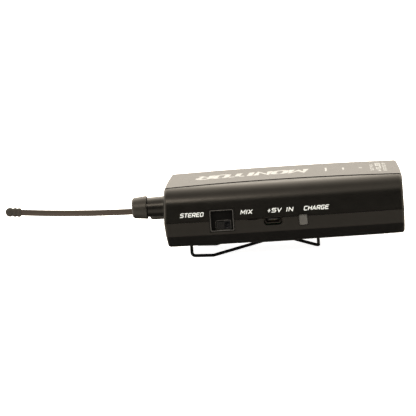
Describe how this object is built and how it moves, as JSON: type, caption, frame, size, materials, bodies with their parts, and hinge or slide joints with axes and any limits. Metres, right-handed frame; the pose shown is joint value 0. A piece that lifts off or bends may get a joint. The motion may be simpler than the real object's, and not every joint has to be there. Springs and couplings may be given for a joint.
{
  "type": "wireless bodypack",
  "caption": "Pocket wireless pack for in-ear monitoring: curved case, flexible antenna, volume knob, mode switch, charging socket and a wire belt clip.",
  "frame": {"origin": "under the middle of the overall length including the antenna, middle of the width, at the lowest point of the belt clip wire", "axes": "+X from the antenna tip to the plain end, +Z out of the printed front face, controls on the -Y side"},
  "size_m": [0.1802, 0.066, 0.0337],
  "materials": {
    "case_plastic": "satin black moulded plastic, very fine texture",
    "panel_plastic": "smooth satin black panel, printed in white",
    "knob_plastic": "satin black knob",
    "black_rubber": "soft black moulded rubber",
    "whip_sleeve": "smooth dark sleeve over a steel whip",
    "clip_wire": "black coated spring steel wire",
    "bezel_plastic": "black insert with a bright moulded edge",
    "actuator_plastic": "black ribbed slider",
    "bright_steel": "nickel plated steel",
    "zinc_steel": "tin plated steel",
    "black_screw": "black oxide steel screw",
    "shaft_steel": "turned steel",
    "gold_contacts": "gold plated",
    "tongue_plastic": "black moulded insulator",
    "light_pipe": "smoked translucent light pipe",
    "led_lens": "tinted translucent lens",
    "led_body": "white surface-mount lamp",
    "board_laminate": "green solder mask on glass laminate",
    "chip_epoxy": "black moulded package",
    "ferrite": "dark ferrite",
    "can_aluminium": "bare aluminium cans",
    "ceramic_parts": "ceramic chip parts with tinned ends",
    "battery_foil": "aluminium pouch foil",
    "grey_foam": "closed-cell foam",
    "adhesive": "double-sided tape",
    "connector_nylon": "natural nylon",
    "red_lead": "red insulated lead",
    "black_lead": "black insulated lead",
    "rating_foil": "plain silver-grey rating label"
  },
  "bodies": {
    "housing": {"front_shell": "case_plastic", "rear_shell": "case_plastic", "front_panel": "panel_plastic", "panel_adhesive": "adhesive", "rating_label": "rating_foil", "volume_pot": "zinc_steel", "phones_jack_body": "chip_epoxy", "phones_jack_ring": "bright_steel", "status_lens": "led_lens", "antenna_boot": "black_rubber", "antenna_whip": "whip_sleeve", "antenna_tip": "black_rubber", "antenna_feed": "gold_contacts", "switch_bezel": "bezel_plastic", "switch_body": "zinc_steel", "usb_shell": "bright_steel", "usb_tongue": "tongue_plastic", "usb_contacts": "gold_contacts", "charge_light_pipe": "light_pipe", "charge_led": "led_body", "main_board": "board_laminate", "rf_shield": "zinc_steel", "controller_chip": "chip_epoxy", "audio_chip": "chip_epoxy", "charger_chip": "chip_epoxy", "power_inductor": "ferrite", "crystal": "bright_steel", "electrolytic_caps": "can_aluminium", "board_passives": "ceramic_parts", "battery_cell": "battery_foil", "battery_pad": "grey_foam", "battery_header": "connector_nylon", "battery_plug": "connector_nylon", "battery_lead_red": "red_lead", "battery_lead_black": "black_lead", "case_screws": "black_screw", "board_screws": "bright_steel"},
    "volume": {"volume_knob": "knob_plastic", "volume_shaft": "shaft_steel"},
    "mode_slider": {"switch_actuator": "actuator_plastic"},
    "clip": {"belt_clip": "clip_wire"}
  },
  "joints": [
    {"name": "volume_turn", "type": "hinge", "parent": "housing", "child": "volume", "pos_m": [-0.02485, -0.017, 0.024], "axis": [-1, 0, 0], "range_deg": [0, 300]},
    {"name": "mode_slide", "type": "slide", "parent": "housing", "child": "mode_slider", "axis": [1, 0, 0], "range_m": [0, 0.002]},
    {"name": "clip_flex", "type": "hinge", "parent": "housing", "child": "clip", "pos_m": [-0.00405, 0, 0.0097], "axis": [0, 1, 0], "range_deg": [0, 9], "stiffness_Nm_per_rad": 2, "springref_deg": -5.73}
  ]
}
